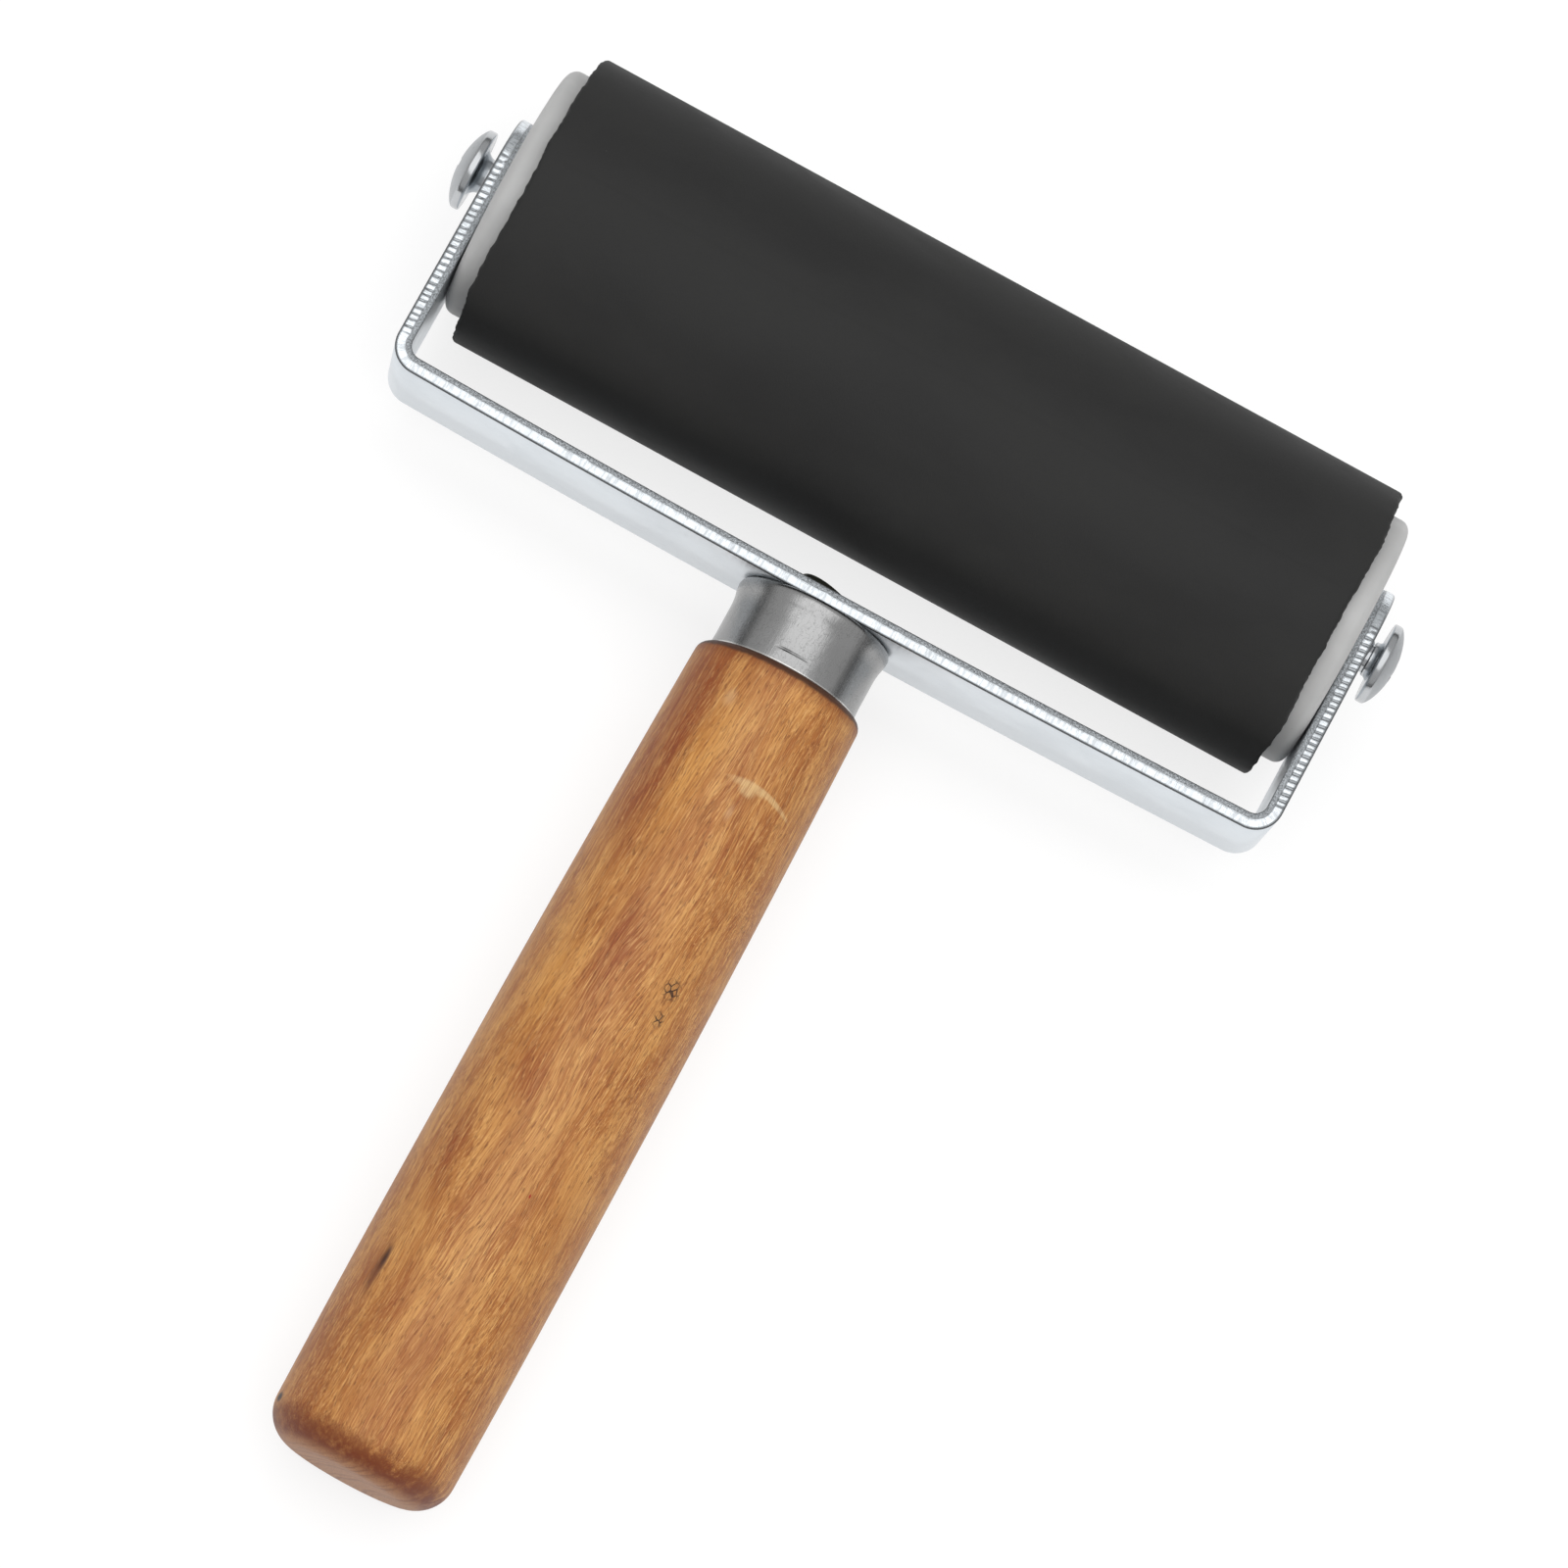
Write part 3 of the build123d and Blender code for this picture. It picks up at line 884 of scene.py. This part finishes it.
def wood_finish(handle):
    """Varnished dowel: leaning fibres, pores, patches and knocks, and a scorched butt with growth rings."""
    material, tree, shader = new_finish("varnished_wood")
    place = tool_place(tree)
    x, y, z = split(tree, place)
    # Everything follows a slow drift of the fibres, which lean across the handle.
    lean = radians(3.5)
    drift = grain(tree, stretch(tree, place, (0.10, 0.030, 0.10)), 1.0, 2.0)
    flow = vectors(tree, "ADD", place, joined(tree, product(tree, drift, 5.0)))

    flame = grain(tree, stretch(tree, flow, (0.30, 0.055, 0.30), lean), 1.0, 4.0, 0.6, 0.3)
    gold = grain(tree, stretch(tree, flow, (0.24, 0.06, 0.24), lean), 1.7, 2.0, 0.5)
    bands = grain(tree, stretch(tree, flow, (1.1, 0.035, 1.1), lean), 1.0, 3.0, 0.65)
    fibre = grain(tree, stretch(tree, flow, (5.2, 0.15, 5.2), lean), 1.0, 4.0, 0.75)
    strands = grain(tree, stretch(tree, flow, (2.6, 0.10, 2.6), lean), 1.0, 2.0, 0.6)
    hair = grain(tree, stretch(tree, flow, (3.3, 0.12, 3.3), lean * 1.6), 1.0, 2.0, 0.6)
    dashes = grain(tree, stretch(tree, flow, (6.5, 0.9, 6.5), lean), 1.0, 1.0, 0.5)
    open_grain = clouds(tree, place, 9, 0.7, (1, 0.4, 1))

    brown, light, golden = rgba(handle.brown), rgba((0.66, 0.36, 0.12)), rgba((0.58, 0.27, 0.055))
    black = rgba((0.035, 0.016, 0.010))
    base = blend(tree, ramp(tree, gold, 0.40, 0.62), rgba(handle.honey), rgba(handle.pale))
    frayed = sums(tree, "ADD", flame, product(tree, sums(tree, "SUBTRACT", bands, 0.5), 0.35))
    base = blend(tree, ramp(tree, frayed, 0.50, 0.72, 0, 0.42), base, brown)
    base = blend(tree, ramp(tree, bands, 0.48, 0.70, 0, 0.22), base, brown)

    patches = [((-3.9, -50, 9), (2.8, 13, 7), 0.9, golden, 0.60), ((-6.0, -77, 8), (2.2, 9, 7), 0.9, golden, 0.50),
               ((3.0, -40, 9), (3.2, 9, 7), 0.9, golden, 0.35), ((0.6, -106, 9), (2.2, 19, 7), 0.9, light, 0.50),
               ((-7.4, -46, 6), (3.4, 19, 9), 0.6, brown, 1.0), ((-1.6, -71, 9), (3.0, 12, 7), 0.75, brown, 1.0),
               ((-6.9, -97, 6), (1.6, 8, 7), 0.7, brown, 1.0), ((-3.2, -88, 8), (2.3, 6, 7), 0.75, brown, 0.95),
               ((-4.2, -115, 8), (2.8, 6, 7), 0.8, brown, 0.80), ((-8.5, -122, 6), (3.0, 24, 7), 0.9, brown, 0.50)]
    shifted = vectors(tree, "ADD", flow, (-2.5, 0, 0))
    streaked = ramp(tree, bands, 0.3, 0.6, 0.5, 1)
    for middle, size, edge, tint, strength in patches:
        patch = product(tree, spot(tree, shifted, middle, size, edge), streaked)
        base = tinted(tree, base, patch, strength, tint)

    # Fibres, fine light and dark lines, and open pores.
    depth = ramp(tree, open_grain, 0, 1, 0.55, 1.0)
    base = tinted(tree, base, ramp(tree, fibre, 0.50, 0.38, 0, 0.70), depth, brown)
    base = tinted(tree, base, ramp(tree, fibre, 0.51, 0.64, 0, 0.65), depth, light)
    for lines, width, strength, tint in ((hair, 0.035, 0.55, (0.74, 0.43, 0.16)),
                                         (strands, 0.030, 0.60, (0.19, 0.055, 0.014))):
        base = tinted(tree, base, thin_lines(tree, lines, width), product(tree, depth, strength), rgba(tint))
    pores = ramp(tree, dashes, 0.62, 0.68)
    base = tinted(tree, base, pores, 0.50, rgba((0.13, 0.038, 0.012)))

    # The crackled knot, the dark streak with its reddish tail, a red speck and a knock.
    crackle = add(tree, "ShaderNodeTexVoronoi", {"Vector": stretch(tree, place, (1.6, 1.3, 1.6), 0.5), "Scale": 1.0,
                                                 "Randomness": 1.0}, feature="DISTANCE_TO_EDGE")
    cracks = ramp(tree, crackle.outputs["Distance"], 0.04, 0.14, 1.0, 0.0)
    knot = spot(tree, place, (5.65, -71.7, 8.8), (1.3, 1.6, 3), 0.6)
    knot = sums(tree, "MAXIMUM", knot, spot(tree, place, (5.9, -75.2, 8.8), (0.8, 1.3, 3), 0.7))
    knot = product(tree, knot, sums(tree, "ADD", product(tree, cracks, 0.85), 0.10))
    base = blend(tree, knot, base, black)
    streak = spot(tree, place, (-7.5, -111.7, 7.3), (0.45, 2.3, 2.5), 0.9)
    tail = spot(tree, place, (-7.7, -113.2, 7.3), (0.75, 4.6, 2.5), 0.9)
    base = tinted(tree, base, tail, 0.80, rgba((0.11, 0.024, 0.010)))
    base = tinted(tree, base, streak, 0.90, rgba((0.03, 0.009, 0.006)))
    base = blend(tree, spot(tree, place, (2.9, -98.9, 10), (0.16, 0.34, 2), 0.6), base, rgba((0.30, 0.012, 0.006)))
    base = blend(tree, spot(tree, place, (-10.4, -129.6, 3.0), (0.55, 0.8, 1.6), 0.6), base, black)

    # The arched scratch below the shoulder, and two faint rubs.
    across = sums(tree, "SUBTRACT", x, 2.8)
    sag = product(tree, product(tree, across, across), 0.042)
    arched = joined(tree, x, sums(tree, "ADD", y, sag), z)
    scratch = spot(tree, arched, (4.8, -47.9, 9.5), (6.2, 0.48, 5), 0.6)
    for middle, size in (((2.5, -48.1, 9.5), (2.9, 0.75, 3)), ((2.5, -48.7, 9.5), (1.3, 1.0, 3))):
        scratch = sums(tree, "MAXIMUM", scratch, spot(tree, arched, middle, size, 0.6))
    scratch = product(tree, scratch, ramp(tree, fibre, 0.35, 0.58, 0.35, 1))
    base = tinted(tree, base, scratch, 0.72, rgba((0.64, 0.44, 0.21)))
    for middle, size in (((1.9, -51.8, 9.5), (0.6, 1.5, 3)), ((-4.0, -40.4, 9), (1.0, 1.6, 3))):
        base = tinted(tree, base, spot(tree, place, middle, size, 0.9), 0.35, rgba((0.60, 0.40, 0.22)))

    # The scorched edge of the butt, the sawn end with its rings, and painted shade where the wood meets the ferrule.
    ragged = grain(tree, stretch(tree, place, (0.55, 0.30, 0.55)), 1.0, 4.0, 0.65)
    level = sums(tree, "ADD", y, product(tree, sums(tree, "SUBTRACT", ragged, 0.5), 7.5))
    butt = GRIP_LOW.y / MM
    uneven = ramp(tree, ragged, 0.32, 0.58, 0.55, 1.0)
    base = tinted(tree, base, ramp(tree, level, butt + 4.4, butt + 2.0), uneven, rgba(handle.burnt))
    heart = vectors(tree, "SUBTRACT", flow, (19, 0, -7))
    ring = length_of(tree, vectors(tree, "MULTIPLY", heart, (1.3, 0, 1.3)))
    rings = grain(tree, joined(tree, ring), 1.0, 3.0, 0.7)
    sawn = blend(tree, ramp(tree, dashes, 0.42, 0.62, 0, 0.7), rgba((0.42, 0.195, 0.075)), rgba((0.28, 0.110, 0.038)))
    sawn = blend(tree, ramp(tree, rings, 0.46, 0.62, 0, 0.75), sawn, rgba((0.20, 0.070, 0.024)))
    base = blend(tree, ramp(tree, y, butt + 1.1, butt + 0.1, 0.0, 0.85), base, sawn)
    shoulder = FERRULE_LOW.y / MM
    # Painted shade where the wood meets the ferrule: a brown band over the rounded shoulder and a near-black line at
    # the ferrule's edge.
    dirt_and_joint_shade = sums(tree, "ADD", y, product(tree, ragged, 0.5))
    for low, high, strength, tint in ((-2.2, -0.5, 0.55, handle.burnt), (-0.85, -0.40, 0.90, (0.05, 0.022, 0.014))):
        base = blend(tree, ramp(tree, dirt_and_joint_shade, shoulder + low, shoulder + high, 0.0, strength), base, rgba(tint))

    relief = bumped(tree, fibre, 0.07 * MM, 0.50)
    relief = bumped(tree, sums(tree, "SUBTRACT", 1.0, sums(tree, "MAXIMUM", pores, thin_lines(tree, strands, 0.02))),
                    0.05 * MM, 0.4, relief)
    relief = bumped(tree, sums(tree, "SUBTRACT", 1.0, sums(tree, "MAXIMUM", knot, streak)), 0.2 * MM, 0.6, relief)
    fill(tree, shader, {"Base Color": base, "Roughness": ramp(tree, fibre, 0.3, 0.7, 0.46, 0.58),
                        "Specular IOR Level": 0.28, "Coat Weight": 0.10, "Coat Roughness": 0.30, "Normal": relief})
    return material


# ---------------------------------------------------------------- the stage


def lay_floor(stage):
    """A pale floor that glows faintly, a fifth of a millimetre below the brayer."""
    bm = bmesh.new()
    bmesh.ops.create_grid(bm, x_segments=1, y_segments=1, size=3)
    mesh = bpy.data.meshes.new("floor")
    bm.to_mesh(mesh)
    bm.free()
    floor = bpy.data.objects.new("floor", mesh)
    floor.location.z = -0.0002
    bpy.context.collection.objects.link(floor)
    material, tree, shader = new_finish("pale_floor")
    fill(tree, shader, {"Base Color": (0.25, 0.25, 0.25, 1), "Roughness": 0.9, "Specular IOR Level": 0.0,
                        "Emission Color": (1, 1, 1, 1), "Emission Strength": stage.floor_glow})
    mesh.materials.append(material)


def studio_walls(stage):
    """A world that is dark below and bright above, as in a white room."""
    world = bpy.data.worlds.new("studio")
    world.use_nodes = True
    tree = world.node_tree
    tree.nodes.clear()
    direction = split(tree, tree.nodes.new("ShaderNodeTexCoord").outputs["Generated"])
    band = add(tree, "ShaderNodeValToRGB", {0: direction[2]})
    stops = [(0.0, 0.10), (0.12, 0.16), (0.30, 0.95), (1.0, 1.0)]
    while len(band.color_ramp.elements) < len(stops):
        band.color_ramp.elements.new(0.5)
    for element, (position, shade) in zip(band.color_ramp.elements, stops):
        element.position = position
        element.color = (shade, shade, shade, 1)
    background = add(tree, "ShaderNodeBackground", {"Color": band.outputs[0], "Strength": stage.walls})
    output = tree.nodes.new("ShaderNodeOutputWorld")
    tree.links.new(background.outputs[0], output.inputs[0])
    return world


def hang_lights(stage):
    """The overhead softbox, and a wide fill that makes no highlights."""
    for name, place, size, power, glossy in (
            ("key", (-0.10, 0.05, 1.2), 1.2, stage.key, True),
            ("fill", (0.25, 0.0, 2.0), 2.4, stage.key * 7, False)):
        lamp = bpy.data.lights.new(name, "AREA")
        lamp.shape = "SQUARE"
        lamp.size = size
        lamp.energy = power
        light = bpy.data.objects.new(name, lamp)
        facing = Vector(place).to_track_quat("Z", "Y").to_matrix().to_4x4()
        light.matrix_world = Matrix.Translation(place) @ facing
        light.visible_glossy = glossy
        bpy.context.collection.objects.link(light)


def aimed_camera(stage):
    """The camera, which looks down at the brayer from the handle's side."""
    back = Vector((0, -cos(stage.elevation), sin(stage.elevation)))
    rise = Vector((0, sin(stage.elevation), cos(stage.elevation)))
    right = cos(stage.roll) * Vector((1, 0, 0)) + sin(stage.roll) * rise
    turned = Matrix((right, back.cross(right), back)).transposed().to_4x4()
    aim = TOOL @ Vector((stage.aim_across, stage.aim_along, 0))
    lens = bpy.data.cameras.new("camera")
    lens.lens = stage.lens
    lens.sensor_width = 36
    camera = bpy.data.objects.new("camera", lens)
    camera.matrix_world = Matrix.Translation(aim + back * stage.range) @ turned
    bpy.context.collection.objects.link(camera)
    return camera


# ---------------------------------------------------------------- the add-on's operators


class BRAYER_OT_roller(Operator):
    """Build the rubber sleeve and the core that it is pushed on"""
    bl_idname = "brayer.roller"
    bl_label = "Roller"

    def execute(self, context):
        roller, screws = context.scene.brayer_roller, context.scene.brayer_screws
        add_piece(sleeve_mesh(roller), "rubber_sleeve_look", "roller", "rubber_sleeve",
                  [rubber_finish(roller)])
        add_piece(core_mesh(roller, screws), "roller_core_look", "roller", "roller_core",
                  [plastic_finish(roller)])
        return {"FINISHED"}


class BRAYER_OT_strap(Operator):
    """Build the bent and drilled strap"""
    bl_idname = "brayer.strap"
    bl_label = "Strap"

    def execute(self, context):
        strap = context.scene.brayer_strap
        bm = strap_mesh(strap)
        drill(bm, (0, 0, 0), (1, 0, 0), strap.hole_radius, 4 * strap.arm_outside)
        drill(bm, (0, -strap.bar_outside, 0), (0, 1, 0), HANDLE_HOLE_RADIUS, 12 * strap.thickness)
        faces = zinc_finish("zinc_plated_strap", strap.zinc, (1.2, 1.2, 3.5), 0.4, 0.34)[0]
        add_piece(bm, "frame_strap_look", "frame", "frame_strap",
                  [faces, sheared_finish(strap)])
        return {"FINISHED"}


class BRAYER_OT_axle_screws(Operator):
    """Build the two screws that the roller turns on"""
    bl_idname = "brayer.axle_screws"
    bl_label = "Axle screws"

    def execute(self, context):
        screws = context.scene.brayer_screws
        zinc = screw_finish(screws)
        for side, name, turn, thread in ((-1, "left_axle_screw", -0.21, 1.7), (1, "right_axle_screw", 0.8, 0.9)):
            bm = screw_mesh(screws.axle_head_radius, AXLE_HEAD_HEIGHT, screws.axle_head_rim, (2, 0.72),
                            screws.axle_shank_radius, screws.axle_seat - AXLE_SCREW_END, thread * MM, turn)
            seat = Matrix.Translation((side * screws.axle_seat, 0, 0))
            bm.transform(seat @ Matrix.Rotation(side * pi / 2, 4, "Y"))
            add_piece(bm, name + "_look", "roller", name, [zinc])
        return {"FINISHED"}


class BRAYER_OT_handle_screw(Operator):
    """Build the blackened screw that holds the strap to the handle"""
    bl_idname = "brayer.handle_screw"
    bl_label = "Handle screw"

    def execute(self, context):
        screws = context.scene.brayer_screws
        seat = HANDLE_SCREW_HIGH.y - HANDLE_SEAT_DEPTH
        bm = screw_mesh(screws.handle_head_radius, HANDLE_HEAD_HEIGHT, HANDLE_HEAD_RIM, (6, 0.5),
                        HANDLE_SHANK_RADIUS, seat - HANDLE_SCREW_LOW.y, 3.0 * MM, 0.3)
        for vertex in bm.verts:
            head = smooth_step(-1.0 * MM, 0, vertex.co.z)
            vertex.co.z -= head * (vertex.co.x * tan(screws.lean) + HANDLE_HEAD_SUNK)
        bm.transform(Matrix.Translation((0, seat, 0)) @ Matrix.Rotation(-pi / 2, 4, "X"))
        add_piece(bm, "handle_screw_look", "frame", "handle_screw", [blackened_finish(screws)])
        return {"FINISHED"}


class BRAYER_OT_ferrule(Operator):
    """Build the steel ferrule"""
    bl_idname = "brayer.ferrule"
    bl_label = "Ferrule"

    def execute(self, context):
        handle = context.scene.brayer_handle
        add_piece(ferrule_mesh(handle), "ferrule_look", "frame", "ferrule",
                  [steel_finish(handle)])
        return {"FINISHED"}


class BRAYER_OT_grip(Operator):
    """Build the wooden grip"""
    bl_idname = "brayer.grip"
    bl_label = "Grip"

    def execute(self, context):
        handle = context.scene.brayer_handle
        add_piece(grip_mesh(handle), "handle_grip_look", "frame", "handle_grip",
                  [wood_finish(handle)])
        return {"FINISHED"}


class BRAYER_OT_stage(Operator):
    """Lay the pale floor, hang the studio lights and set up the camera"""
    bl_idname = "brayer.stage"
    bl_label = "Stage"

    def execute(self, context):
        scene = context.scene
        stage = scene.brayer_stage
        lay_floor(stage)
        scene.world = studio_walls(stage)
        hang_lights(stage)
        scene.camera = aimed_camera(stage)
        scene.view_settings.view_transform = "Standard"
        return {"FINISHED"}


class BRAYER_PT_panel(Panel):
    """Lists the operators of the brayer"""
    bl_idname = "BRAYER_PT_panel"
    bl_label = "Rubber Brayer"
    bl_space_type = "VIEW_3D"
    bl_region_type = "UI"
    bl_category = "Brayer"

    def draw(self, context):
        for operator in OPERATORS:
            self.layout.operator(operator.bl_idname)


SETTINGS = {"brayer_roller": BrayerRoller, "brayer_strap": BrayerStrap, "brayer_screws": BrayerScrews,
            "brayer_handle": BrayerHandle, "brayer_stage": BrayerStage}
OPERATORS = (BRAYER_OT_roller, BRAYER_OT_strap, BRAYER_OT_axle_screws, BRAYER_OT_handle_screw,
             BRAYER_OT_ferrule, BRAYER_OT_grip, BRAYER_OT_stage)


def register():
    for group in SETTINGS.values():
        bpy.utils.register_class(group)
    for operator in OPERATORS:
        bpy.utils.register_class(operator)
    bpy.utils.register_class(BRAYER_PT_panel)
    for name, group in SETTINGS.items():
        setattr(bpy.types.Scene, name, PointerProperty(type=group))


def unregister():
    for name in SETTINGS:
        delattr(bpy.types.Scene, name)
    bpy.utils.unregister_class(BRAYER_PT_panel)
    for operator in reversed(OPERATORS):
        bpy.utils.unregister_class(operator)
    for group in reversed(SETTINGS.values()):
        bpy.utils.unregister_class(group)


def main():
    register()
    bpy.ops.brayer.roller()
    bpy.ops.brayer.strap()
    bpy.ops.brayer.axle_screws()
    bpy.ops.brayer.handle_screw()
    bpy.ops.brayer.ferrule()
    bpy.ops.brayer.grip()
    bpy.ops.brayer.stage()


if __name__ == "__main__":
    main()
